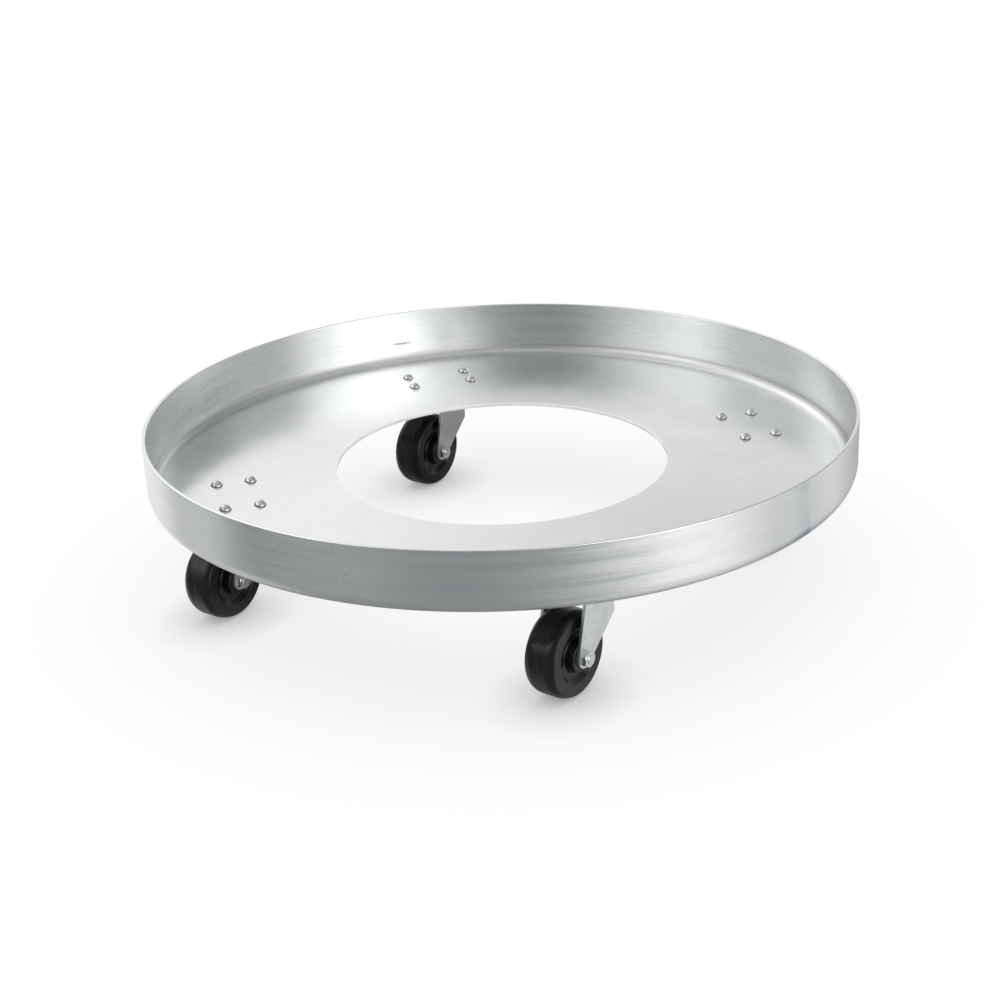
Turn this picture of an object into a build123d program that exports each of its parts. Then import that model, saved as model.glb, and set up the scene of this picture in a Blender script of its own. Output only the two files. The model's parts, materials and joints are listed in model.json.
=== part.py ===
from build123d import *
import math
import os

# Drum dolly: one formed aluminium pan on four swivel casters, each held by four domed rivets.
# Millimetres. The origin is on the ground under the pan's centre and +Z is up.

# Pan: a flat floor ring with an upright wall
OVERALL_HEIGHT = 155.0
PAN_RADIUS = 318.0
PAN_DEPTH = 55.0
PAN_SHEET = 3.2
INNER_BEND_RADIUS = 9.5
CENTRE_HOLE_RADIUS = 150.0
LIP_ROUND = 0.9
HOLE_EDGE_ROUND = 0.5

# Caster places: (angle round the pan, heading in which the wheel trails), in degrees from +X
CASTERS = {
    "front": (315.0, 262.5),
    "right": (45.0, 264.5),
    "back": (135.0, 265.5),
    "left": (225.0, 265.5),
}
SWIVEL_CIRCLE_RADIUS = 240.6
TRAIL = 28.5

# Rivets: short side of their rectangle along the pan's radius, long side across it
RIVET_SPACING_RADIAL = 30.3
RIVET_SPACING_ACROSS = 58.6
RIVET_SHANK_RADIUS = 3.0
RIVET_HEAD_RADIUS = 5.5
RIVET_HEAD_HEIGHT = 4.2
RIVET_TAIL_RADIUS = 4.3
RIVET_TAIL_HEIGHT = 2.2

# Top plate
PLATE_RADIAL = 46.0
PLATE_ACROSS = 74.0
PLATE_THICKNESS = 3.0
PLATE_CORNER = 4.0

# Swivel head: two ball rings, one above and one below the fork's crown
CROWN_GAP = 3.0
UPPER_PITCH_RADIUS = 12.0
UPPER_BALL_RADIUS = 2.5
UPPER_BALL_COUNT = 12
LOWER_PITCH_RADIUS = 8.6
LOWER_BALL_RADIUS = 1.75
LOWER_BALL_COUNT = 12
LOWER_GROOVE_DEPTH = 0.7
BALL_CLEARANCE = 0.05
CUP_RADIUS = 13.5
CUP_THICKNESS = 2.2
KING_PIN_RADIUS = 4.5
KING_PIN_HEAD_RADIUS = 8.0
KING_PIN_HEAD_HEIGHT = 2.6
KING_PIN_SINK_DEPTH = 2.1
CROWN_HOLE_RADIUS = 5.2

# Fork: one folded strip, a round crown and two legs that taper to the axle
FORK_SHEET = 2.5
FORK_HALF_WIDTH = 20.7
FORK_BEND_RADIUS = 5.5
CROWN_RADIUS = 28.0
LEG_TIP_RADIUS = 8.6
LEG_LEADING_EDGE = -13.0
LEG_TRAILING_EDGE = 23.5
LEG_SHOULDER_HEIGHT = 61.5

# Wheel: moulded hard rubber with rounded shoulders and a recess in each face
WHEEL_RADIUS = 36.7
TREAD_FLAT_HALF = 6.0
FACE_HALF_WIDTH = 14.3
FACE_OUTER_RADIUS = 33.8
FACE_INNER_RADIUS = 24.4
RECESS_HALF_WIDTH = 9.8
RECESS_OUTER_RADIUS = 19.4
HUB_FOOT_RADIUS = 14.2
HUB_TOP_RADIUS = 12.8
HUB_HALF_LENGTH = 17.8
WHEEL_BORE_RADIUS = 8.0
WASHER_SEAT_RADIUS = 8.8
WASHER_SEAT_DEPTH = 1.1

# Axle: a hexagon bolt and nut clamp a sleeve between the legs, and rollers turn on the sleeve
AXLE_RADIUS = 3.95
AXLE_HOLE_RADIUS = 4.1
SLEEVE_RADIUS = 5.7
ROLLER_RADIUS = 1.1
ROLLER_PITCH_RADIUS = 6.85
ROLLER_HALF_LENGTH = 16.4
ROLLER_COUNT = 14
WASHER_RADIUS = 8.5
WASHER_THICKNESS = 1.0
HEX_ACROSS_FLATS = 12.7
HEX_CORNER_CUT_DEG = 30.0
BOLT_HEAD_HEIGHT = 5.2
NUT_HEIGHT = 4.8
BOLT_PAST_NUT = 0.9

# Levels above the ground
FLOOR_UNDERSIDE = OVERALL_HEIGHT - PAN_DEPTH
FLOOR_TOP = FLOOR_UNDERSIDE + PAN_SHEET
PLATE_UNDERSIDE = FLOOR_UNDERSIDE - PLATE_THICKNESS
CROWN_TOP = PLATE_UNDERSIDE - CROWN_GAP
CROWN_UNDERSIDE = CROWN_TOP - FORK_SHEET
UPPER_BALL_CENTRE = CROWN_TOP + CROWN_GAP / 2
LOWER_BALL_CENTRE = CROWN_UNDERSIDE + LOWER_GROOVE_DEPTH - LOWER_BALL_RADIUS
CUP_TOP = LOWER_BALL_CENTRE - LOWER_BALL_RADIUS + LOWER_GROOVE_DEPTH
CUP_UNDERSIDE = CUP_TOP - CUP_THICKNESS
LEG_INNER_HALF = FORK_HALF_WIDTH - FORK_SHEET
RIVET_OFFSETS = [
    (side * RIVET_SPACING_RADIAL / 2, way * RIVET_SPACING_ACROSS / 2)
    for side in (-1, 1)
    for way in (-1, 1)
]


def upright(radius, low, high):
    """A cylinder on the Z axis between two levels."""
    return Pos(0, 0, (low + high) / 2) * Cylinder(radius, high - low)


def on_axle(shape):
    """Turns a shape made on the Z axis onto the wheel's axle, its +Z end towards +Y."""
    return Pos(TRAIL, 0, WHEEL_RADIUS) * Rot(-90, 0, 0) * shape


def tube(outer, inner, low, high):
    """A round tube on the Z axis."""
    return upright(outer, low, high) - upright(inner, low, high)


def ring_of(count, pitch_radius, piece):
    """Copies of a piece spaced evenly on a circle about the Z axis."""
    step = 360.0 / count
    return [Rot(0, 0, i * step) * Pos(pitch_radius, 0, 0) * piece for i in range(count)]


def at_rivets(piece):
    """The piece at each of a caster's four rivet places."""
    return [Pos(x, y, 0) * piece for x, y in RIVET_OFFSETS]


def on_pan(name, piece):
    """Places a piece that stays with the pan at a caster's place."""
    place, _ = CASTERS[name]
    return Rot(0, 0, place) * Pos(SWIVEL_CIRCLE_RADIUS, 0, 0) * piece


def on_swivel(name, piece):
    """Places a piece that swivels, its own +X pointing where the wheel trails."""
    place, heading = CASTERS[name]
    return Rot(0, 0, place) * Pos(SWIVEL_CIRCLE_RADIUS, 0, 0) * Rot(0, 0, heading - place) * piece


def pan():
    """The pan: floor, bend and wall of one sheet, with the centre hole and the rivet holes."""
    outer_bend = INNER_BEND_RADIUS + PAN_SHEET
    bend_start = PAN_RADIUS - outer_bend
    wall_foot = FLOOR_UNDERSIDE + outer_bend
    wall_inside = PAN_RADIUS - PAN_SHEET
    outline = [
        Line((CENTRE_HOLE_RADIUS, FLOOR_UNDERSIDE), (bend_start, FLOOR_UNDERSIDE)),
        TangentArc((bend_start, FLOOR_UNDERSIDE), (PAN_RADIUS, wall_foot), tangent=(1, 0)),
        Line((PAN_RADIUS, wall_foot), (PAN_RADIUS, OVERALL_HEIGHT)),
        Line((PAN_RADIUS, OVERALL_HEIGHT), (wall_inside, OVERALL_HEIGHT)),
        Line((wall_inside, OVERALL_HEIGHT), (wall_inside, wall_foot)),
        TangentArc((wall_inside, wall_foot), (bend_start, FLOOR_TOP), tangent=(0, -1)),
        Line((bend_start, FLOOR_TOP), (CENTRE_HOLE_RADIUS, FLOOR_TOP)),
        Line((CENTRE_HOLE_RADIUS, FLOOR_TOP), (CENTRE_HOLE_RADIUS, FLOOR_UNDERSIDE)),
    ]
    section = make_face(outline)
    lip = section.vertices().filter_by(lambda v: v.Y > OVERALL_HEIGHT - 1)
    section = fillet(lip, LIP_ROUND)
    hole_edge = section.vertices().filter_by(lambda v: v.X < CENTRE_HOLE_RADIUS + 1)
    section = fillet(hole_edge, HOLE_EDGE_ROUND)
    body = revolve(Plane.XZ * section, Axis.Z)
    hole = upright(RIVET_SHANK_RADIUS, FLOOR_UNDERSIDE - 1, FLOOR_TOP + 1)
    for name in CASTERS:
        for cutter in at_rivets(hole):
            body -= on_pan(name, cutter)
    return body


def rivet():
    """A solid rivet: domed head on the pan floor, shank, and the tail set under the top plate."""
    dome_radius = (RIVET_HEAD_RADIUS**2 + RIVET_HEAD_HEIGHT**2) / (2 * RIVET_HEAD_HEIGHT)
    head_top = FLOOR_TOP + RIVET_HEAD_HEIGHT
    dome = Pos(0, 0, head_top - dome_radius) * Sphere(dome_radius)
    head = dome & upright(dome_radius + 1, FLOOR_TOP, head_top + 1)
    shank = upright(RIVET_SHANK_RADIUS, PLATE_UNDERSIDE, FLOOR_TOP)
    tail = upright(RIVET_TAIL_RADIUS, PLATE_UNDERSIDE - RIVET_TAIL_HEIGHT, PLATE_UNDERSIDE)
    tail = fillet(tail.edges().filter_by(GeomType.CIRCLE).sort_by(Axis.Z)[0], RIVET_TAIL_HEIGHT / 2)
    return head + shank + tail


def race_groove(pitch_radius, ball_radius, centre_height):
    """The round channel that a ring of balls runs in."""
    return Pos(0, 0, centre_height) * Torus(pitch_radius, ball_radius)


def king_pin_sink():
    """The countersink in the top plate's upper face, and the pin's own flush upper head."""
    large = KING_PIN_RADIUS + KING_PIN_SINK_DEPTH
    middle = FLOOR_UNDERSIDE - KING_PIN_SINK_DEPTH / 2
    return Pos(0, 0, middle) * Cone(KING_PIN_RADIUS, large, KING_PIN_SINK_DEPTH)


def top_plate():
    """The mounting plate under the pan floor, with the upper race in its underside."""
    middle = (PLATE_UNDERSIDE + FLOOR_UNDERSIDE) / 2
    plate = Pos(0, 0, middle) * Box(PLATE_RADIAL, PLATE_ACROSS, PLATE_THICKNESS)
    plate = fillet(plate.edges().filter_by(Axis.Z), PLATE_CORNER)
    hole = upright(RIVET_SHANK_RADIUS, PLATE_UNDERSIDE - 1, FLOOR_UNDERSIDE + 1)
    for cutter in at_rivets(hole):
        plate -= cutter
    plate -= upright(KING_PIN_RADIUS, PLATE_UNDERSIDE - 1, FLOOR_UNDERSIDE + 1)
    plate -= king_pin_sink()
    return plate - race_groove(UPPER_PITCH_RADIUS, UPPER_BALL_RADIUS, UPPER_BALL_CENTRE)


def king_pin():
    """The pin that holds the swivel together, set flush in the plate and headed under the cup."""
    shaft = upright(KING_PIN_RADIUS, CUP_UNDERSIDE, FLOOR_UNDERSIDE)
    low = CUP_UNDERSIDE - KING_PIN_HEAD_HEIGHT
    head = upright(KING_PIN_HEAD_RADIUS, low, CUP_UNDERSIDE)
    head = fillet(head.edges().filter_by(GeomType.CIRCLE).sort_by(Axis.Z)[0], KING_PIN_HEAD_HEIGHT * 0.7)
    return shaft + king_pin_sink() + head


def race_cup():
    """The lower race that the king pin clamps."""
    cup = tube(CUP_RADIUS, KING_PIN_RADIUS, CUP_UNDERSIDE, CUP_TOP)
    return cup - race_groove(LOWER_PITCH_RADIUS, LOWER_BALL_RADIUS, LOWER_BALL_CENTRE)


def balls(count, pitch_radius, ball_radius, centre_height):
    """A ring of loose balls, a little smaller than their channel."""
    ball = Pos(0, 0, centre_height) * Sphere(ball_radius - BALL_CLEARANCE)
    return Compound(children=ring_of(count, pitch_radius, ball))


def fork_channel():
    """The folded strip before it is trimmed: an upturned U, endless along X."""
    tip_low = WHEEL_RADIUS - LEG_TIP_RADIUS
    length = 4 * CROWN_RADIUS

    def arch(half_width, top, bend):
        height = top - tip_low + 1
        block = Pos(0, 0, top - height / 2) * Box(length, 2 * half_width, height)
        top_edges = block.edges().filter_by(Axis.X).group_by(Axis.Z)[-1]
        return fillet(top_edges, bend)

    outside = arch(FORK_HALF_WIDTH, CROWN_TOP, FORK_BEND_RADIUS)
    inside = arch(LEG_INNER_HALF, CROWN_UNDERSIDE, FORK_BEND_RADIUS - FORK_SHEET)
    return outside - inside


def fork():
    """The fork: crown and legs of one sheet, with the pin hole, both ball channels and axle holes."""
    width = LEG_TRAILING_EDGE - LEG_LEADING_EDGE
    shoulder = CROWN_TOP - LEG_SHOULDER_HEIGHT
    middle = (LEG_TRAILING_EDGE + LEG_LEADING_EDGE) / 2
    upper = Pos(middle, LEG_SHOULDER_HEIGHT + shoulder / 2) * Rectangle(width, shoulder)
    tip = Pos(TRAIL, WHEEL_RADIUS) * Circle(LEG_TIP_RADIUS)
    leg_outline = make_hull(upper.edges() + tip.edges())
    legs = extrude(Plane.XZ * leg_outline, FORK_HALF_WIDTH + 1, both=True)
    crown = upright(CROWN_RADIUS, CROWN_TOP - FORK_BEND_RADIUS, CROWN_TOP)
    body = fork_channel() & (legs + crown)
    body -= upright(CROWN_HOLE_RADIUS, CROWN_UNDERSIDE - 1, CROWN_TOP + 1)
    body -= race_groove(UPPER_PITCH_RADIUS, UPPER_BALL_RADIUS, UPPER_BALL_CENTRE)
    body -= race_groove(LOWER_PITCH_RADIUS, LOWER_BALL_RADIUS, LOWER_BALL_CENTRE)
    reach = FORK_HALF_WIDTH + 1
    return body - on_axle(upright(AXLE_HOLE_RADIUS, -reach, reach))


def hexagon(low, high):
    """A hexagon prism on the Z axis, two flats square to X, its outer corners turned off at +Z."""
    corner_radius = HEX_ACROSS_FLATS / math.sqrt(3)
    height = high - low
    prism = extrude(Pos(0, 0, low) * RegularPolygon(corner_radius, 6, rotation=30), height)
    flat_radius = HEX_ACROSS_FLATS / 2
    spread = height / math.tan(math.radians(HEX_CORNER_CUT_DEG))
    cone = Pos(0, 0, low + height / 2) * Cone(flat_radius + spread, flat_radius, height)
    return prism & cone


def axle_bolt():
    """The hexagon bolt, its head on the -Y side."""
    shank = upright(AXLE_RADIUS, -FORK_HALF_WIDTH, FORK_HALF_WIDTH + NUT_HEIGHT + BOLT_PAST_NUT)
    shank = chamfer(shank.edges().filter_by(GeomType.CIRCLE).sort_by(Axis.Z)[-1], 0.7)
    head = Rot(180, 0, 0) * hexagon(FORK_HALF_WIDTH, FORK_HALF_WIDTH + BOLT_HEAD_HEIGHT)
    return on_axle(shank + head)


def axle_nut():
    """The hexagon nut on the +Y leg."""
    nut = hexagon(FORK_HALF_WIDTH, FORK_HALF_WIDTH + NUT_HEIGHT)
    nut -= upright(AXLE_RADIUS, FORK_HALF_WIDTH - 1, FORK_HALF_WIDTH + NUT_HEIGHT + 1)
    return on_axle(nut)


def axle_sleeve():
    """The sleeve that the bolt clamps between the legs."""
    return on_axle(tube(SLEEVE_RADIUS, AXLE_HOLE_RADIUS, -LEG_INNER_HALF, LEG_INNER_HALF))


def thrust_washers():
    """A washer against the inside of each leg, sitting in the hub's seat."""
    inner = SLEEVE_RADIUS
    near = tube(WASHER_RADIUS, inner, LEG_INNER_HALF - WASHER_THICKNESS, LEG_INNER_HALF)
    far = tube(WASHER_RADIUS, inner, -LEG_INNER_HALF, WASHER_THICKNESS - LEG_INNER_HALF)
    return Compound(children=[on_axle(near), on_axle(far)])


def wheel_half_section():
    """Half of the wheel's section, radius along X and distance from the middle plane along Y."""
    tread_edge = (WHEEL_RADIUS, TREAD_FLAT_HALF)
    face_edge = (FACE_OUTER_RADIUS, FACE_HALF_WIDTH)
    inside = Polyline(
        tread_edge,
        (WHEEL_RADIUS, 0),
        (WHEEL_BORE_RADIUS, 0),
        (WHEEL_BORE_RADIUS, HUB_HALF_LENGTH - WASHER_SEAT_DEPTH),
        (WASHER_SEAT_RADIUS, HUB_HALF_LENGTH - WASHER_SEAT_DEPTH),
        (WASHER_SEAT_RADIUS, HUB_HALF_LENGTH),
        (HUB_TOP_RADIUS, HUB_HALF_LENGTH),
        (HUB_FOOT_RADIUS, RECESS_HALF_WIDTH),
        (RECESS_OUTER_RADIUS, RECESS_HALF_WIDTH),
        (FACE_INNER_RADIUS, FACE_HALF_WIDTH),
        face_edge,
    )
    shoulder = TangentArc(tread_edge, face_edge, tangent=(0, 1))
    return make_face([inside, shoulder])


def wheel():
    """The wheel, with its recess corners rounded."""
    half = wheel_half_section()
    rounds = [
        (FACE_INNER_RADIUS, FACE_HALF_WIDTH, 1.2),
        (RECESS_OUTER_RADIUS, RECESS_HALF_WIDTH, 1.5),
        (HUB_FOOT_RADIUS, RECESS_HALF_WIDTH, 1.5),
        (HUB_TOP_RADIUS, HUB_HALF_LENGTH, 0.8),
        (FACE_OUTER_RADIUS, FACE_HALF_WIDTH, 1.5),
    ]
    for radius, across, size in rounds:
        corner = half.vertices().sort_by_distance((radius, across, 0))[0]
        half = fillet(corner, size)
    section = half + mirror(half, Plane.XZ)
    spun = revolve(Plane.XZ * section, Axis.Z)
    return on_axle(spun)


def rollers():
    """The rollers between the sleeve and the wheel's bore."""
    roller = upright(ROLLER_RADIUS, -ROLLER_HALF_LENGTH, ROLLER_HALF_LENGTH)
    set_of_rollers = ring_of(ROLLER_COUNT, ROLLER_PITCH_RADIUS, roller)
    return Compound(children=[on_axle(one) for one in set_of_rollers])


def write(name, shape):
    export_step(shape, f"parts/{name}.step")


def main():
    os.makedirs("parts", exist_ok=True)
    write("pan", pan())
    fixed = {
        "rivets": Compound(children=at_rivets(rivet())),
        "top_plate": top_plate(),
        "king_pin": king_pin(),
        "race_cup": race_cup(),
    }
    swivelling = {
        "upper_balls": balls(UPPER_BALL_COUNT, UPPER_PITCH_RADIUS, UPPER_BALL_RADIUS, UPPER_BALL_CENTRE),
        "lower_balls": balls(LOWER_BALL_COUNT, LOWER_PITCH_RADIUS, LOWER_BALL_RADIUS, LOWER_BALL_CENTRE),
        "fork": fork(),
        "axle_bolt": axle_bolt(),
        "axle_nut": axle_nut(),
        "axle_sleeve": axle_sleeve(),
        "thrust_washers": thrust_washers(),
        "wheel": wheel(),
        "rollers": rollers(),
    }
    for name in CASTERS:
        for piece, shape in fixed.items():
            write(f"{name}_{piece}", on_pan(name, shape))
        for piece, shape in swivelling.items():
            write(f"{name}_{piece}", on_swivel(name, shape))


main()
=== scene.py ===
import json
import math

import bmesh
import bpy
from mathutils import Matrix, Vector


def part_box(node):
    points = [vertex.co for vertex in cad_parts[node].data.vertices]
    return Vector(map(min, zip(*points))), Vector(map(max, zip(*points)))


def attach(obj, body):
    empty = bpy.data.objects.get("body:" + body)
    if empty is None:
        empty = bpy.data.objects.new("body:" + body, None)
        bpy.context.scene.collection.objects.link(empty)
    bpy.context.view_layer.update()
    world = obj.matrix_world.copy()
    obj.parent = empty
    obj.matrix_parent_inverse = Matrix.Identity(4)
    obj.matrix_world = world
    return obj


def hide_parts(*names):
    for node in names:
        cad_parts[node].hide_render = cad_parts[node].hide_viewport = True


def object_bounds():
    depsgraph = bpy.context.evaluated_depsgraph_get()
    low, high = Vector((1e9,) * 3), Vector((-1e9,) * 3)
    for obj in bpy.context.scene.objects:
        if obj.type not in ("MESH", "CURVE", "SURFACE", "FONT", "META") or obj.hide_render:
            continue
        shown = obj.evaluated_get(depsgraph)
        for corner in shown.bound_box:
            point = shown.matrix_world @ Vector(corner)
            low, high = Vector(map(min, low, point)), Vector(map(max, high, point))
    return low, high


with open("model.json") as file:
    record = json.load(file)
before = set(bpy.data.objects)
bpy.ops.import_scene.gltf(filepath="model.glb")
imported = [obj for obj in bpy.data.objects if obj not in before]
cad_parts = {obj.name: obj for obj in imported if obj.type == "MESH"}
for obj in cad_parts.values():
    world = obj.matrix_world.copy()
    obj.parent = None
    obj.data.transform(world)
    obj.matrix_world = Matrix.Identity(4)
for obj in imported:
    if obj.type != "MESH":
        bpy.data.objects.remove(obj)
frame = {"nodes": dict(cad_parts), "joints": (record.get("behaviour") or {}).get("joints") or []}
cad_low, cad_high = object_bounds()
nodes = frame["nodes"]
joints = {joint["name"]: joint for joint in frame["joints"]}
CASTERS = ("front", "right", "back", "left")

# Sizes read from the frame, in metres
PAN_RADIUS = (cad_high.x - cad_low.x) / 2
RIM_HEIGHT = cad_high.z
RIVET_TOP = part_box("front_rivets")[1][2]
RIVET_HEAD_HEIGHT = 0.0042

# The pan's section, as its CAD node has it
FLOOR_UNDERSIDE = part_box("pan")[0][2]
SHEET = 0.0032
INNER_BEND = 0.0095
HOLE_RADIUS = 0.150
LIP_ROUND = 0.0009
HOLE_EDGE_ROUND = 0.0005
RIVET_HOLE_RADIUS = 0.0030
RIVET_OFFSETS = [(side * 0.01515, way * 0.0293) for side in (-1, 1) for way in (-1, 1)]

# Marks on the pan's inner wall, and the height of the dark line painted as shade along its inner bend:
# azimuths in degrees from +X, heights in metres
SCUFF_AZIMUTH = 139.5
SCUFF_SPREAD = 3.2
SCUFF_HEIGHT = 0.1218
BEND_SHADE_HEIGHT = 0.1100

# A bluish vertical band on its outer wall, darker at its foot and towards its top, which ends in a straight
# edge near its foot
BLUE_BAND_AZIMUTH = 351.2
BLUE_BAND_SPREAD = 5.5
BLUE_BAND_LOW = 0.1120
BLUE_BAND_HIGH = 0.1475

# How many steps the visible pan is turned in
PAN_STEPS = 288

# How rough the pan's metal is, on its floor and on its wall, and where one becomes the other
FLOOR_ROUGHNESS = 0.20
WALL_ROUGHNESS = 0.30
FLOOR_ENDS = 0.955 * PAN_RADIUS
WALL_STARTS = 0.985 * PAN_RADIUS

# Turned parts: the colour where clean, the colour where dull, and how rough
TURNED_ZINC = ((0.80, 0.82, 0.81), (0.66, 0.69, 0.68), 0.30)
GROUND_STEEL = ((0.70, 0.70, 0.69), (0.58, 0.58, 0.57), 0.26)

# Camera: where it stands, from the pan's own size
CAMERA_AZIMUTH = math.radians(30.4)
CAMERA_TURN = math.radians(0.12)
CAMERA_DISTANCE = 4.850 * PAN_RADIUS
CAMERA_ABOVE_RIM = 1.7327 * PAN_RADIUS
CAMERA_PITCH = math.radians(22.645)
CAMERA_ROLL = math.radians(-2.398)
CAMERA_LENS = 65.51

# Studio: the light that each part of the surroundings gives, 1 being the white of the floor
SURROUND = (0.283, 0.292, 0.300)
LAMP_COLOUR = (0.994, 1.0, 0.975)
# name: (azimuth in degrees from +X, elevation in degrees, radius in degrees, strength at the middle)
LAMPS = {
    "window": (350, 12, 30, 1.95),
    "window left edge": (330, 12, 30, 0.95),
    "window right edge": (30, 12, 30, 0.42),
    "window top": (316, 28, 22, 0.45),
    "window sill": (10, -12, 30, 0.35),
    "right sill": (53, -15, 24, 0.42),
    "floor by the window": (14, -45, 40, 0.48),
    "ceiling behind camera": (238, 35, 30, 1.12),
    "ceiling left": (208, 35, 30, 0.66),
    "left panel": (196, -15, 16, 0.12),
    "left flag": (213, -20, 12, -0.14),
    "ceiling far left": (165, 35, 30, 0.75),
    "zenith": (0, 85, 45, 0.30),
    "ceiling back": (143, 35, 30, 0.65),
    "back panel": (110, 12, 30, 0.55),
    "back panel right": (72, -3, 30, 0.24),
    "back floor left": (150, -12, 30, 0.7),
    "back floor": (82, -13, 30, 0.15),
    "left floor": (185, -35, 30, 0.35),
    "floor behind camera": (252, -20, 24, 0.06),
}
# name: (X and Y of its middle, radius), in pan radii; glossy surfaces see these dim patches of the floor
SHADES = {
    "under the deck": (0.0, 0.0, 0.95),
    "behind the deck": (-0.08, 1.00, 0.45),
}
SHADE_GLOW = 0.16
SHADE_HEIGHT = 0.0005
# The white sweep, as (radius, height): floor, a turn up, a wall and a ceiling
SWEEP = [(0.8, 0.0), (3.0, 0.0), (9.0, 0.0), (14.0, 2.0), (16.0, 8.0), (16.0, 30.0), (0.01, 34.0)]
# How far the floor looks for what shades it, for the contact shadow and for the wide one
CONTACT_REACH = 0.05
WIDE_REACH = 0.18

# How far apart in the noise two seeds lie
NOISE_STEP = (3.1, 7.7, 5.3)
# Three directions that scratches run in, as turns in radians
SCRATCH_TURNS = ((0.3, 0.5, 0.4), (1.1, -0.6, 1.5), (-0.7, 0.9, 2.6))


def add_camera():
    data = bpy.data.cameras.new("camera")
    data.lens = CAMERA_LENS
    data.sensor_width = 36.0
    data.clip_start = 0.05
    data.clip_end = 100.0
    camera = bpy.data.objects.new("camera", data)
    bpy.context.scene.collection.objects.link(camera)
    place = Vector(
        (
            CAMERA_DISTANCE * math.sin(CAMERA_AZIMUTH),
            -CAMERA_DISTANCE * math.cos(CAMERA_AZIMUTH),
            RIM_HEIGHT + CAMERA_ABOVE_RIM,
        )
    )
    heading = Matrix.Rotation(CAMERA_AZIMUTH + CAMERA_TURN, 4, "Z")
    tilt = Matrix.Rotation(math.radians(90) - CAMERA_PITCH, 4, "X")
    roll = Matrix.Rotation(CAMERA_ROLL, 4, "Z")
    camera.matrix_world = Matrix.Translation(place) @ heading @ tilt @ roll
    bpy.context.scene.camera = camera


class Tree:
    """A node tree, with short calls for what the materials share."""

    def __init__(self, owner):
        owner.use_nodes = True
        self.tree = owner.node_tree
        self.tree.nodes.clear()

    def add(self, kind, **settings):
        node = self.tree.nodes.new(kind)
        for name, value in settings.items():
            setattr(node, name, value)
        return node

    def put(self, value, socket):
        """Gives a socket a value: a link if the value is another node's output."""
        if isinstance(value, bpy.types.NodeSocket):
            self.tree.links.new(value, socket)
        else:
            socket.default_value = value

    def math(self, operation, *values, clamp=False):
        node = self.add("ShaderNodeMath", operation=operation, use_clamp=clamp)
        for value, socket in zip(values, node.inputs):
            self.put(value, socket)
        return node.outputs[0]

    def times(self, first, second):
        return self.math("MULTIPLY", first, second)

    def vector(self, operation, *values):
        node = self.add("ShaderNodeVectorMath", operation=operation)
        sockets = (node.inputs[0], node.inputs["Scale"]) if operation == "SCALE" else node.inputs
        for value, socket in zip(values, sockets):
            self.put(value, socket)
        return node.outputs["Value" if operation in ("DOT_PRODUCT", "LENGTH", "DISTANCE") else "Vector"]

    def ramp(self, value, low, high, to_low=0.0, to_high=1.0, smooth=False):
        """Maps value from low..high to to_low..to_high, held at both ends."""
        node = self.add("ShaderNodeMapRange", clamp=True)
        node.interpolation_type = "SMOOTHSTEP" if smooth else "LINEAR"
        names = ("Value", "From Min", "From Max", "To Min", "To Max")
        for given, name in zip((value, low, high, to_low, to_high), names):
            self.put(given, node.inputs[name])
        return node.outputs["Result"]

    def noise(self, place, size=1.0, detail=2.0, roughness=0.5, seed=0):
        """Noise from 0 to 1 whose features are about size metres across."""
        scaled = self.vector("SCALE", place, 1.0 / size)
        moved = self.vector("ADD", scaled, tuple(seed * step for step in NOISE_STEP))
        node = self.add("ShaderNodeTexNoise", noise_dimensions="3D")
        self.put(moved, node.inputs["Vector"])
        node.inputs["Scale"].default_value = 1.0
        node.inputs["Detail"].default_value = detail
        node.inputs["Roughness"].default_value = roughness
        return node.outputs["Fac"]

    def lines(self, place, length, width, turn=(0.0, 0.0, 0.0), seed=0):
        """Noise drawn out along one direction, X before it is turned by three angles."""
        rotate = self.add("ShaderNodeVectorRotate", rotation_type="EULER_XYZ")
        self.put(place, rotate.inputs["Vector"])
        self.put(turn, rotate.inputs["Rotation"])
        stretched = self.vector("MULTIPLY", rotate.outputs[0], (1.0 / length, 1.0 / width, 1.0 / width))
        return self.noise(stretched, detail=1.0, seed=seed)

    def scratches(self, place, length, width, seed=0, share=0.70):
        """Thin marks in several directions, 1 where one is; a larger share makes fewer."""
        marks = None
        for step, turn in enumerate(SCRATCH_TURNS):
            line = self.lines(place, length, width, turn, seed + 10 * step)
            mark = self.ramp(line, share, share + 0.05)
            marks = mark if marks is None else self.math("MAXIMUM", marks, mark)
        return marks

    def mix_colour(self, share, low, high):
        node = self.add("ShaderNodeMix", data_type="RGBA")
        self.put(share, node.inputs["Factor"])
        self.put(low, node.inputs["A"])
        self.put(high, node.inputs["B"])
        return node.outputs["Result"]

    def sum(self, *values):
        total = values[0]
        for value in values[1:]:
            total = self.math("ADD", total, value)
        return total

    def place(self):
        return self.add("ShaderNodeTexCoord").outputs["Object"]

    def polar(self, out, along):
        """A place whose Y and Z are the distances out from an axis and along it."""
        node = self.add("ShaderNodeCombineXYZ")
        self.put(out, node.inputs["Y"])
        self.put(along, node.inputs["Z"])
        return node.outputs[0]

    def about(self, joint_name):
        """Coordinates about a joint: the place from its middle, along its axis, out from it, and round it."""
        joint = joints[joint_name]
        place = self.vector("SUBTRACT", self.place(), tuple(joint["pos_m"]))
        along = self.vector("DOT_PRODUCT", place, tuple(joint["axis"]))
        spoke = self.vector("SUBTRACT", place, self.vector("SCALE", tuple(joint["axis"]), along))
        return place, along, self.vector("LENGTH", spoke), self.vector("NORMALIZE", spoke)


def direction(azimuth, elevation):
    """The unit vector towards an azimuth from +X and an elevation, in degrees."""
    a, e = math.radians(azimuth), math.radians(elevation)
    return (math.cos(e) * math.cos(a), math.cos(e) * math.sin(a), math.sin(e))


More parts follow.
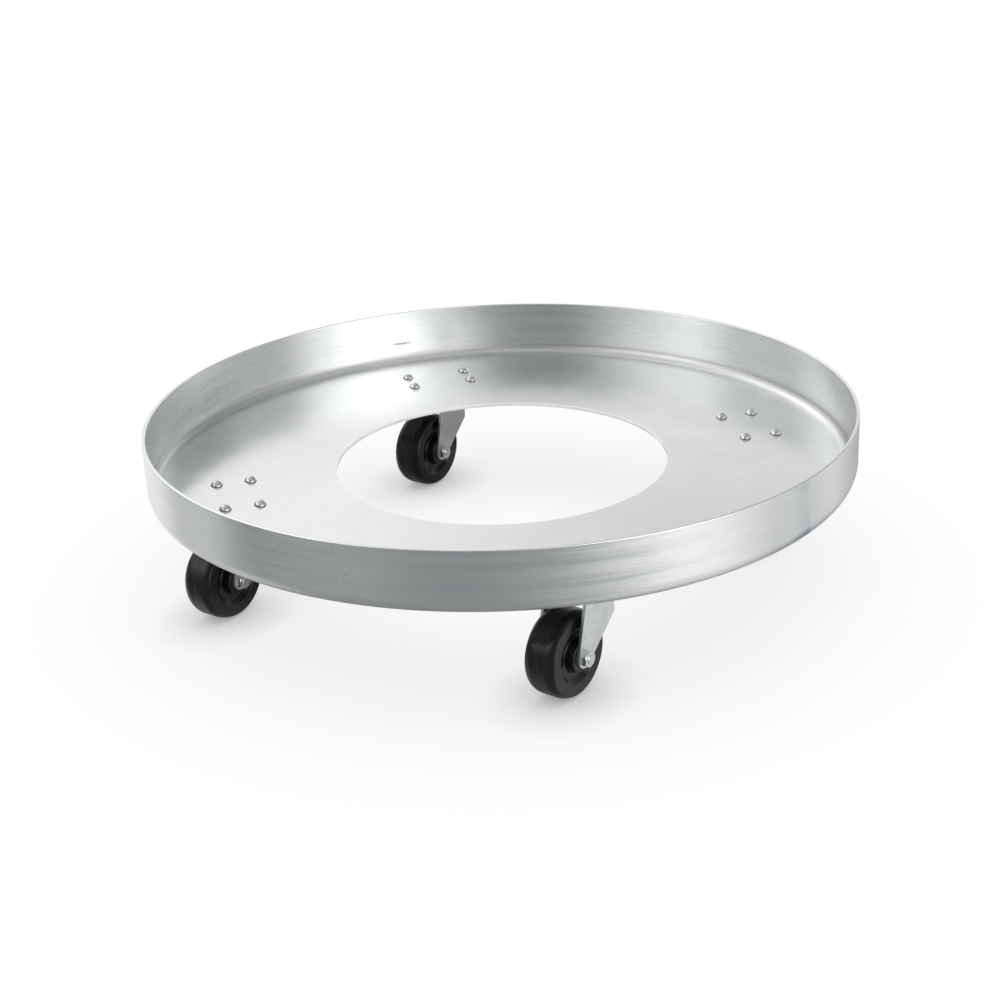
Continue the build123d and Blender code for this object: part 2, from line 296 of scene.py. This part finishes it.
def add_studio():
    """The surroundings: an even grey with soft round lamps in it."""
    world = bpy.data.worlds.new("studio")
    tree = Tree(world)
    towards = tree.add("ShaderNodeTexCoord").outputs["Generated"]
    lit = 0.0
    for azimuth, elevation, radius, strength in LAMPS.values():
        facing = tree.vector("DOT_PRODUCT", towards, direction(azimuth, elevation))
        edge = math.cos(math.radians(radius))
        lit = tree.math("ADD", lit, tree.ramp(facing, edge, 1.0, 0.0, strength, smooth=True))
    colour = tree.vector("ADD", tree.vector("SCALE", LAMP_COLOUR, lit), SURROUND)
    background = tree.add("ShaderNodeBackground")
    tree.put(colour, background.inputs["Color"])
    out = tree.add("ShaderNodeOutputWorld")
    tree.put(background.outputs[0], out.inputs["Surface"])
    bpy.context.scene.world = world
    bpy.context.scene.view_settings.view_transform = "Standard"


def lathe(name, profile, steps=48):
    """A stage surface turned from (radius, height) points, closed at its first ring."""
    mesh = bpy.data.meshes.new(name)
    bm = bmesh.new()
    rings = []
    for radius, height in profile:
        turns = [2 * math.pi * i / steps for i in range(steps)]
        rings.append([bm.verts.new((radius * math.cos(t), radius * math.sin(t), height)) for t in turns])
    bm.faces.new(rings[0])
    for low, high in zip(rings, rings[1:]):
        for i in range(steps):
            j = (i + 1) % steps
            bm.faces.new((low[i], high[i], high[j], low[j]))
    bm.to_mesh(mesh)
    bm.free()
    surface = bpy.data.objects.new(name, mesh)
    bpy.context.scene.collection.objects.link(surface)
    surface.visible_shadow = False
    return surface


def add_floor():
    """A white sweep round the object, shaded near it, which turns up into a wall far away."""
    sweep = lathe("sweep", SWEEP)
    material = bpy.data.materials.new("white sweep")
    tree = Tree(material)
    near = tree.add("ShaderNodeAmbientOcclusion", samples=8)
    near.inputs["Distance"].default_value = CONTACT_REACH
    wide = tree.add("ShaderNodeAmbientOcclusion", samples=8)
    wide.inputs["Distance"].default_value = WIDE_REACH
    contact = tree.ramp(near.outputs["AO"], 0.0, 1.0, 0.35, 1.0)
    shade = tree.ramp(wide.outputs["AO"], 0.25, 0.97, 0.84, 1.0)
    glow = tree.add("ShaderNodeEmission")
    tree.put(tree.times(contact, shade), glow.inputs["Strength"])
    out = tree.add("ShaderNodeOutputMaterial")
    tree.put(glow.outputs[0], out.inputs["Surface"])
    sweep.data.materials.append(material)
    sweep.visible_glossy = False


def add_shade(name, x, y, radius):
    """A dim patch of floor that only reflections see, and that fades out towards its edge."""
    card = lathe(f"shade {name}", [(radius, SHADE_HEIGHT)])
    card.location = (x, y, 0.0)
    material = bpy.data.materials.new(f"shade {name}")
    tree = Tree(material)
    glow = tree.add("ShaderNodeEmission")
    glow.inputs["Strength"].default_value = SHADE_GLOW
    clear = tree.add("ShaderNodeBsdfTransparent")
    mix = tree.add("ShaderNodeMixShader")
    from_middle = tree.vector("LENGTH", tree.place())
    tree.put(tree.ramp(from_middle, 0.6 * radius, radius, smooth=True), mix.inputs[0])
    tree.put(glow.outputs[0], mix.inputs[1])
    tree.put(clear.outputs[0], mix.inputs[2])
    out = tree.add("ShaderNodeOutputMaterial")
    tree.put(mix.outputs[0], out.inputs["Surface"])
    card.data.materials.append(material)
    card.visible_camera = False
    card.visible_diffuse = False


def new_material(name, metallic, **fixed):
    """A material with its Principled shader; fixed gives the sockets that are the same all over."""
    material = bpy.data.materials.new(name)
    tree = Tree(material)
    shader = tree.add("ShaderNodeBsdfPrincipled")
    shader.inputs["Metallic"].default_value = metallic
    for socket, value in fixed.items():
        shader.inputs[socket.replace("_", " ")].default_value = value
    out = tree.add("ShaderNodeOutputMaterial")
    tree.put(shader.outputs[0], out.inputs["Surface"])
    return material, tree, shader


def finish_material(tree, shader, colour, roughness, height):
    """Sets what varies over the surface; height is in millimetres."""
    tree.put(colour, shader.inputs["Base Color"])
    tree.put(roughness, shader.inputs["Roughness"])
    node = tree.add("ShaderNodeBump")
    node.inputs["Distance"].default_value = 0.001
    tree.put(height, node.inputs["Height"])
    tree.put(node.outputs["Normal"], shader.inputs["Normal"])


def pan_aluminium():
    """Satin aluminium: streaks round the axis, cloudy patches, scratches, a scuff, a bluish band, a worn lip,
    painted shade along the inner bend and a painted highlight on the hole's cut edge.
    """
    material, tree, shader = new_material(
        "satin aluminium", 1.0, Anisotropic=0.8, Anisotropic_Rotation=0.25
    )
    place = tree.place()
    flat = tree.vector("MULTIPLY", place, (1.0, 1.0, 0.0))
    radius = tree.vector("LENGTH", flat)
    around = tree.vector("NORMALIZE", flat)
    split = tree.add("ShaderNodeSeparateXYZ")
    tree.put(place, split.inputs[0])
    height = split.outputs["Z"]
    across = tree.math("SUBTRACT", height, radius)
    on_wall = tree.ramp(radius, FLOOR_ENDS, WALL_STARTS)

    def streaks(length, width, detail, seed):
        """Noise drawn out round the axis; length and width in metres."""
        along = tree.vector("SCALE", around, PAN_RADIUS / length)
        lift = tree.add("ShaderNodeCombineXYZ")
        tree.put(tree.times(across, 1.0 / width), lift.inputs["Z"])
        moved = tree.vector("ADD", along, lift.outputs[0])
        return tree.noise(moved, detail=detail, roughness=0.6, seed=seed)

    fine = streaks(0.110, 0.0006, 3.0, 1)
    bands = streaks(0.220, 0.0050, 3.0, 2)
    clouds = streaks(0.070, 0.0240, 4.0, 3)
    patches = tree.noise(place, 0.035, detail=3.0, seed=4)
    wall_tone = tree.sum(tree.times(bands, 0.55), tree.times(clouds, 0.45))
    floor_tone = tree.sum(tree.times(bands, 0.12), tree.times(patches, 0.50), 0.19)
    tone = tree.add("ShaderNodeMix", data_type="FLOAT")
    tree.put(on_wall, tone.inputs["Factor"])
    tree.put(floor_tone, tone.inputs["A"])
    tree.put(wall_tone, tone.inputs["B"])
    tone = tone.outputs["Result"]
    marks = tree.scratches(place, 0.045, 0.00035, seed=5, share=0.73)
    dull, bright = (0.770, 0.780, 0.785, 1), (0.850, 0.860, 0.855, 1)
    colour = tree.mix_colour(tree.ramp(tone, 0.35, 0.65), dull, bright)

    facing = tree.vector("DOT_PRODUCT", around, direction(SCUFF_AZIMUTH, 0.0))
    scuff = tree.ramp(facing, math.cos(math.radians(SCUFF_SPREAD)), 1.0, smooth=True)
    level = tree.math("ABSOLUTE", tree.math("SUBTRACT", height, SCUFF_HEIGHT))
    scuff = tree.times(scuff, tree.ramp(level, 0.0, 0.0022, 1.0, 0.0, smooth=True))
    scuff = tree.times(scuff, tree.ramp(tree.noise(place, 0.0035, detail=3.0), 0.35, 0.55))
    inside = tree.ramp(radius, PAN_RADIUS - 0.0025, PAN_RADIUS - 0.0015, 1.0, 0.0)
    scuff = tree.times(scuff, inside)
    colour = tree.mix_colour(tree.times(scuff, 0.8), colour, (0.20, 0.20, 0.20, 1))

    # Painted shade: a dark line painted along the inner bend, partly broken up by the clouds.
    painted_bend_shade_level = tree.math("ABSOLUTE", tree.math("SUBTRACT", height, BEND_SHADE_HEIGHT))
    painted_bend_shade = tree.times(tree.ramp(painted_bend_shade_level, 0.0, 0.0016, 1.0, 0.0, smooth=True), inside)
    painted_bend_shade = tree.times(painted_bend_shade, tree.ramp(clouds, 0.40, 0.62, 0.1, 0.55))
    colour = tree.mix_colour(painted_bend_shade, colour, (0.36, 0.345, 0.32, 1))

    # A bluish vertical band on the outer wall, darker still at its foot and towards its top.
    turned = tree.vector("DOT_PRODUCT", around, direction(BLUE_BAND_AZIMUTH + 90, 0.0))
    near = tree.vector("DOT_PRODUCT", around, direction(BLUE_BAND_AZIMUTH, 0.0))
    blue_band = tree.ramp(turned, -math.sin(math.radians(BLUE_BAND_SPREAD)), 0.0, smooth=True)
    softened = tree.ramp(height, BLUE_BAND_LOW, BLUE_BAND_HIGH, 0.0, -0.070)
    blue_band = tree.times(blue_band, tree.ramp(turned, softened, 0.004, 1.0, 0.0))
    blue_band = tree.times(blue_band, tree.math("GREATER_THAN", near, 0.0))
    blue_band = tree.times(blue_band, tree.ramp(radius, PAN_RADIUS - 0.0030, PAN_RADIUS - 0.0015))
    blue_band = tree.times(blue_band, tree.ramp(clouds, 0.30, 0.60, 0.6, 1.0))
    foot = tree.ramp(height, BLUE_BAND_LOW - 0.0020, BLUE_BAND_LOW + 0.0020, 1.0, 0.0, smooth=True)
    head = tree.ramp(height, BLUE_BAND_HIGH - 0.0030, BLUE_BAND_HIGH + 0.0030, 0.0, 0.7, smooth=True)
    deep = tree.times(blue_band, tree.math("MAXIMUM", foot, head))
    colour = tree.mix_colour(tree.times(blue_band, 0.6), colour, (0.54, 0.59, 0.66, 1))
    colour = tree.mix_colour(tree.times(deep, 0.7), colour, (0.24, 0.33, 0.45, 1))

    # Painted shade: the inner bend is painted darker, and made a little rougher, to dim the highlight it
    # reflects.
    bend = tree.ramp(height, BEND_SHADE_HEIGHT - 0.0060, BEND_SHADE_HEIGHT - 0.0030, smooth=True)
    above_bend = tree.ramp(height, BEND_SHADE_HEIGHT, BEND_SHADE_HEIGHT + 0.0030, 1.0, 0.0)
    bend = tree.times(bend, above_bend)
    bend = tree.times(bend, inside)
    colour = tree.mix_colour(tree.times(bend, 0.45), colour, (0.58, 0.58, 0.575, 1))

    # The hole's cut edge is made whiter and less metallic: a raw sheared edge, and also a painted highlight
    # for the bright line it shows.
    cut = tree.ramp(radius, HOLE_RADIUS + 0.0003, HOLE_RADIUS + 0.0008, 1.0, 0.0)
    colour = tree.mix_colour(tree.times(cut, 0.8), colour, (0.92, 0.93, 0.93, 1))
    tree.put(tree.ramp(cut, 0.0, 1.0, 1.0, 0.30), shader.inputs["Metallic"])

    lip = tree.ramp(height, RIM_HEIGHT - 0.0016, RIM_HEIGHT - 0.0006)
    colour = tree.mix_colour(tree.times(lip, 0.6), colour, (0.90, 0.905, 0.90, 1))
    roughness = tree.sum(
        tree.ramp(tone, 0.3, 0.7, -0.05, 0.05),
        tree.ramp(on_wall, 0, 1, FLOOR_ROUGHNESS, WALL_ROUGHNESS),
        tree.times(tree.ramp(fine, 0.3, 0.7, -0.05, 0.05), tree.ramp(on_wall, 0, 1, 0.4, 1.0)),
        tree.times(marks, 0.10),
        tree.times(lip, -0.08),
        tree.times(scuff, 0.25),
        tree.times(bend, 0.08),
    )
    grain = tree.times(fine, tree.ramp(on_wall, 0, 1, 0.004, 0.008))
    wide = tree.times(bands, tree.ramp(on_wall, 0, 1, 0.004, 0.011))
    dents = tree.times(tree.noise(place, 0.050, detail=1.0, seed=7), 0.10)
    relief = tree.sum(grain, wide, dents, tree.times(marks, -0.004))
    tangent = tree.add("ShaderNodeTangent", direction_type="RADIAL", axis="Z")
    tree.put(tangent.outputs[0], shader.inputs["Tangent"])
    finish_material(tree, shader, colour, roughness, relief)
    return material


def hard_rubber(name):
    """Glossy black moulded rubber: parting line, mould rings, lightly scuffed tread, dust in the recess."""
    material, tree, shader = new_material(f"{name} hard rubber", 0.0, Specular_IOR_Level=0.4)
    place, along, out, around = tree.about(f"{name}_wheel_spin")
    away = tree.math("ABSOLUTE", along)
    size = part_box(f"{name}_wheel")
    wheel_radius = (size[1][2] - size[0][2]) / 2
    on_tread = tree.ramp(out, 0.93 * wheel_radius, 0.98 * wheel_radius)
    axis = tuple(joints[f"{name}_wheel_spin"]["axis"])
    round_tread = tree.vector("SCALE", around, 0.010)
    turned = tree.vector("ADD", round_tread, tree.vector("SCALE", axis, along))
    rub = tree.noise(turned, 0.0022, detail=4.0, roughness=0.65, seed=2)
    worn = tree.times(tree.ramp(away, 0.10 * wheel_radius, 0.24 * wheel_radius, 1.0, 0.0), on_tread)
    worn = tree.times(worn, tree.ramp(rub, 0.48, 0.66))
    marks = tree.scratches(place, 0.012, 0.00022, seed=3, share=0.72)
    sunk = tree.ramp(away, 0.24 * wheel_radius, 0.30 * wheel_radius, 1.0, 0.0)
    settled = tree.times(sunk, tree.ramp(out, 0.80 * wheel_radius, 0.72 * wheel_radius))
    dust_and_dark_foot = tree.noise(place, 0.004, detail=4.0, roughness=0.6, seed=4)
    dust = tree.times(settled, tree.ramp(dust_and_dark_foot, 0.42, 0.72))
    shade = tree.ramp(tree.noise(place, 0.011, detail=3.0, seed=5), 0.3, 0.7)
    colour = tree.mix_colour(shade, (0.0018, 0.0019, 0.0027, 1), (0.0034, 0.0035, 0.0046, 1))
    colour = tree.mix_colour(tree.times(worn, 0.30), colour, (0.016, 0.016, 0.018, 1))
    colour = tree.mix_colour(tree.times(marks, 0.5), colour, (0.035, 0.035, 0.036, 1))
    colour = tree.mix_colour(tree.times(dust, 0.5), colour, (0.050, 0.047, 0.042, 1))
    grain = tree.noise(place, 0.0007, detail=2.0, seed=6)
    roughness = tree.sum(
        tree.ramp(grain, 0.3, 0.7, 0.17, 0.23),
        tree.times(shade, 0.05),
        tree.times(worn, 0.07),
        tree.times(dust, 0.30),
        tree.times(marks, 0.10),
    )
    rings = tree.lines(tree.polar(out, along), 1.0, 0.0009, seed=7)
    ridge = tree.times(tree.ramp(away, 0.00015, 0.00060, 1.0, 0.0, smooth=True), on_tread)
    relief = tree.sum(
        tree.times(grain, 0.003),
        tree.times(rings, 0.010),
        tree.times(ridge, 0.10),
        tree.times(worn, -0.012),
        tree.times(marks, -0.010),
    )
    finish_material(tree, shader, colour, roughness, relief)
    return material


def zinc_sheet(name, seed):
    """Bright zinc plate on pressed sheet: mottled, with faint rolling lines and handling scratches."""
    material, tree, shader = new_material(f"{name} zinc sheet", 1.0)
    place = tree.place()
    mottle = tree.noise(place, 0.009, detail=5.0, roughness=0.6, seed=seed)
    film = tree.ramp(tree.noise(place, 0.022, detail=2.0, seed=seed + 1), 0.35, 0.65)
    grain = tree.noise(place, 0.0005, detail=2.0, seed=seed + 2)
    rolled = tree.lines(place, 0.030, 0.0007, (0.0, math.radians(90), 0.0), seed + 3)
    marks = tree.scratches(place, 0.014, 0.00020, seed + 4, 0.71)
    clean = tree.mix_colour(film, (0.800, 0.835, 0.820, 1), (0.835, 0.850, 0.850, 1))
    dull = tree.mix_colour(film, (0.690, 0.725, 0.715, 1), (0.715, 0.735, 0.735, 1))
    colour = tree.mix_colour(tree.ramp(mottle, 0.38, 0.62), dull, clean)
    colour = tree.mix_colour(tree.times(marks, 0.5), colour, (0.90, 0.91, 0.91, 1))
    roughness = tree.sum(
        tree.ramp(mottle, 0.3, 0.7, 0.40, 0.30),
        tree.ramp(grain, 0.3, 0.7, -0.04, 0.04),
        tree.ramp(rolled, 0.3, 0.7, -0.03, 0.03),
        tree.times(marks, -0.08),
    )
    relief = tree.sum(
        tree.times(grain, 0.004),
        tree.times(rolled, 0.006),
        tree.times(mottle, 0.010),
        tree.times(marks, -0.008),
    )
    finish_material(tree, shader, colour, roughness, relief)
    return material


def turned_steel(title, joint_name, seed, light, dark, gloss):
    """Plated or ground steel turned about a joint's axis: fine tool rings, mottling and small marks."""
    material, tree, shader = new_material(title, 1.0)
    place, along, out, _ = tree.about(joint_name)
    rings = tree.lines(tree.polar(out, along), 1.0, 0.00035, seed=seed)
    mottle = tree.noise(place, 0.0035, detail=4.0, roughness=0.6, seed=seed + 1)
    grain = tree.noise(place, 0.0003, detail=2.0, seed=seed + 2)
    marks = tree.scratches(place, 0.005, 0.00012, seed + 3, 0.70)
    colour = tree.mix_colour(tree.ramp(mottle, 0.35, 0.65), (*dark, 1), (*light, 1))
    colour = tree.mix_colour(tree.times(marks, 0.4), colour, (0.90, 0.90, 0.90, 1))
    roughness = tree.sum(
        tree.ramp(mottle, 0.3, 0.7, gloss + 0.05, gloss - 0.05),
        tree.ramp(rings, 0.3, 0.7, -0.04, 0.04),
        tree.ramp(grain, 0.3, 0.7, -0.03, 0.03),
    )
    relief = tree.sum(
        tree.times(rings, 0.006),
        tree.times(grain, 0.002),
        tree.times(marks, -0.004),
    )
    finish_material(tree, shader, colour, roughness, relief)
    return material


def rivet_steel(seed):
    """Bright domes with fine scratches, darker and rougher where each head meets the floor."""
    material, tree, shader = new_material("rivet steel", 1.0)
    place = tree.place()
    split = tree.add("ShaderNodeSeparateXYZ")
    tree.put(place, split.inputs[0])
    foot = RIVET_TOP - RIVET_HEAD_HEIGHT
    # Darker and rougher in a thin ring where each head meets the floor.
    dust_and_dark_foot = tree.ramp(split.outputs["Z"], foot + 0.0002, foot + 0.0011, 1.0, 0.0, smooth=True)
    mottle = tree.noise(place, 0.0020, detail=4.0, roughness=0.6, seed=seed)
    marks = tree.scratches(place, 0.004, 0.00010, seed + 1, 0.68)
    colour = tree.mix_colour(tree.ramp(mottle, 0.35, 0.65), (0.66, 0.66, 0.65, 1), (0.80, 0.80, 0.79, 1))
    colour = tree.mix_colour(tree.times(marks, 0.4), colour, (0.92, 0.92, 0.91, 1))
    colour = tree.mix_colour(tree.times(dust_and_dark_foot, 0.8), colour, (0.10, 0.09, 0.08, 1))
    roughness = tree.sum(
        tree.ramp(mottle, 0.3, 0.7, 0.13, 0.06),
        tree.times(marks, 0.10),
        tree.times(dust_and_dark_foot, 0.35),
    )
    relief = tree.sum(tree.times(mottle, 0.030), tree.times(marks, -0.004))
    finish_material(tree, shader, colour, roughness, relief)
    return material


def bearing_steel(seed):
    """Polished balls and rollers with a thin film of grease in patches."""
    material, tree, shader = new_material("bearing steel", 1.0, Coat_Weight=0.4, Coat_Roughness=0.12)
    place = tree.place()
    film = tree.ramp(tree.noise(place, 0.0030, detail=4.0, roughness=0.6, seed=seed), 0.40, 0.62)
    marks = tree.scratches(place, 0.003, 0.00008, seed + 1, 0.70)
    colour = tree.mix_colour(film, (0.76, 0.76, 0.77, 1), (0.50, 0.43, 0.28, 1))
    colour = tree.mix_colour(tree.times(marks, 0.4), colour, (0.90, 0.90, 0.90, 1))
    roughness = tree.sum(tree.ramp(film, 0, 1, 0.10, 0.30), tree.times(marks, 0.08))
    relief = tree.sum(tree.times(film, 0.012), tree.times(marks, -0.002))
    finish_material(tree, shader, colour, roughness, relief)
    return material


def arc(middle, radius, start, end, steps):
    """Points of an arc in the pan's section, between two angles in degrees."""
    turns = [math.radians(start + (end - start) * i / steps) for i in range(steps + 1)]
    return [(middle[0] + radius * math.cos(t), middle[1] + radius * math.sin(t)) for t in turns]


def between(start, end, steps):
    """Points inside a straight stretch of the pan's section, without its ends."""
    shares = [i / steps for i in range(1, steps)]
    return [tuple(a + (b - a) * share for a, b in zip(start, end)) for share in shares]


def pan_section():
    """The closed section of the pan as (radius, height), from the hole's lower edge outwards and back."""
    outer_bend = INNER_BEND + SHEET
    floor_top = FLOOR_UNDERSIDE + SHEET
    bend_middle = (PAN_RADIUS - outer_bend, FLOOR_UNDERSIDE + outer_bend)
    hole_round = HOLE_RADIUS + HOLE_EDGE_ROUND
    lip_level = RIM_HEIGHT - LIP_ROUND
    stretches = [
        arc((hole_round, FLOOR_UNDERSIDE + HOLE_EDGE_ROUND), HOLE_EDGE_ROUND, 180, 270, 4),
        arc(bend_middle, outer_bend, 270, 360, 20),
        arc((PAN_RADIUS - LIP_ROUND, lip_level), LIP_ROUND, 0, 90, 6),
        arc((PAN_RADIUS - SHEET + LIP_ROUND, lip_level), LIP_ROUND, 90, 180, 6),
        arc(bend_middle, INNER_BEND, 360, 270, 16),
        arc((hole_round, floor_top - HOLE_EDGE_ROUND), HOLE_EDGE_ROUND, 90, 180, 4),
    ]
    cuts = [8, 4, 1, 4, 8, 1]
    section = []
    for stretch, following, steps in zip(stretches, stretches[1:] + stretches[:1], cuts):
        section += stretch + between(stretch[-1], following[0], steps)
    return section


def new_object(name, bm):
    mesh = bpy.data.meshes.new(name)
    bm.to_mesh(mesh)
    bm.free()
    made = bpy.data.objects.new(name, mesh)
    bpy.context.scene.collection.objects.link(made)
    return made


def turned_pan():
    """The pan turned finely round its axis, before its rivet holes are cut."""
    bm = bmesh.new()
    turns = [2 * math.pi * i / PAN_STEPS for i in range(PAN_STEPS)]
    rings = [
        [bm.verts.new((radius * math.cos(t), radius * math.sin(t), height)) for t in turns]
        for radius, height in pan_section()
    ]
    for ring, following in zip(rings, rings[1:] + rings[:1]):
        for i in range(PAN_STEPS):
            j = (i + 1) % PAN_STEPS
            bm.faces.new((ring[i], ring[j], following[j], following[i]))
    return new_object("pan_shell", bm)


def rivet_drills():
    """Round cutters at every rivet's place."""
    bm = bmesh.new()
    for caster in CASTERS:
        middle = Vector(joints[f"{caster}_swivel_turn"]["pos_m"])
        outwards = Vector((middle.x, middle.y, 0.0)).normalized()
        across = Vector((-outwards.y, outwards.x, 0.0))
        for out, side in RIVET_OFFSETS:
            spot = middle + outwards * out + across * side
            spot.z = FLOOR_UNDERSIDE + SHEET / 2
            bmesh.ops.create_cone(
                bm,
                cap_ends=True,
                segments=32,
                radius1=RIVET_HOLE_RADIUS,
                radius2=RIVET_HOLE_RADIUS,
                depth=2 * SHEET,
                matrix=Matrix.Translation(spot),
            )
    return new_object("rivet drills", bm)


def pan_shell():
    """The pan's visible shell: the CAD section turned finely, so that its bends shade without facets."""
    shell = turned_pan()
    drills = rivet_drills()
    cut = shell.modifiers.new("rivet holes", "BOOLEAN")
    cut.object = drills
    cut.solver = "EXACT"
    bpy.context.view_layer.update()
    seen = shell.evaluated_get(bpy.context.evaluated_depsgraph_get())
    mesh = bpy.data.meshes.new_from_object(seen)
    shell.modifiers.clear()
    shell.data = mesh
    bpy.data.objects.remove(drills)
    for face in mesh.polygons:
        face.use_smooth = True
    mesh.set_sharp_from_angle(angle=math.radians(40))
    weighted = shell.modifiers.new("even shading", "WEIGHTED_NORMAL")
    weighted.keep_sharp = True
    weighted.weight = 90
    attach(shell, "deck")
    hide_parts("pan")
    return shell


def paint(material, *node_names):
    """Gives CAD nodes a material, in their objects' own slots."""
    for node_name in node_names:
        for slot in nodes[node_name].material_slots:
            slot.link = "OBJECT"
            slot.material = material


def paint_caster(name, seed):
    """Gives every piece of one caster its material."""
    swivel, spin = f"{name}_swivel_turn", f"{name}_wheel_spin"
    paint(zinc_sheet(name, seed), f"{name}_fork", f"{name}_top_plate", f"{name}_race_cup")
    axle_zinc = turned_steel(f"{name} zinc axle parts", spin, seed + 20, *TURNED_ZINC)
    paint(axle_zinc, f"{name}_axle_bolt", f"{name}_axle_nut")
    axle_ground = turned_steel(f"{name} ground axle parts", spin, seed + 40, *GROUND_STEEL)
    paint(axle_ground, f"{name}_axle_sleeve", f"{name}_thrust_washers")
    paint(turned_steel(f"{name} zinc pin", swivel, seed + 60, *TURNED_ZINC), f"{name}_king_pin")
    paint(hard_rubber(name), f"{name}_wheel")


add_camera()
add_studio()
add_floor()
for shade_name, (shade_x, shade_y, shade_radius) in SHADES.items():
    add_shade(shade_name, shade_x * PAN_RADIUS, shade_y * PAN_RADIUS, shade_radius * PAN_RADIUS)
pan_shell().data.materials.append(pan_aluminium())
for place_in_order, caster in enumerate(CASTERS):
    paint_caster(caster, place_in_order)
paint(rivet_steel(3), *(f"{caster}_rivets" for caster in CASTERS))
rolling = ("upper_balls", "lower_balls", "rollers")
paint(bearing_steel(5), *(f"{caster}_{part}" for caster in CASTERS for part in rolling))
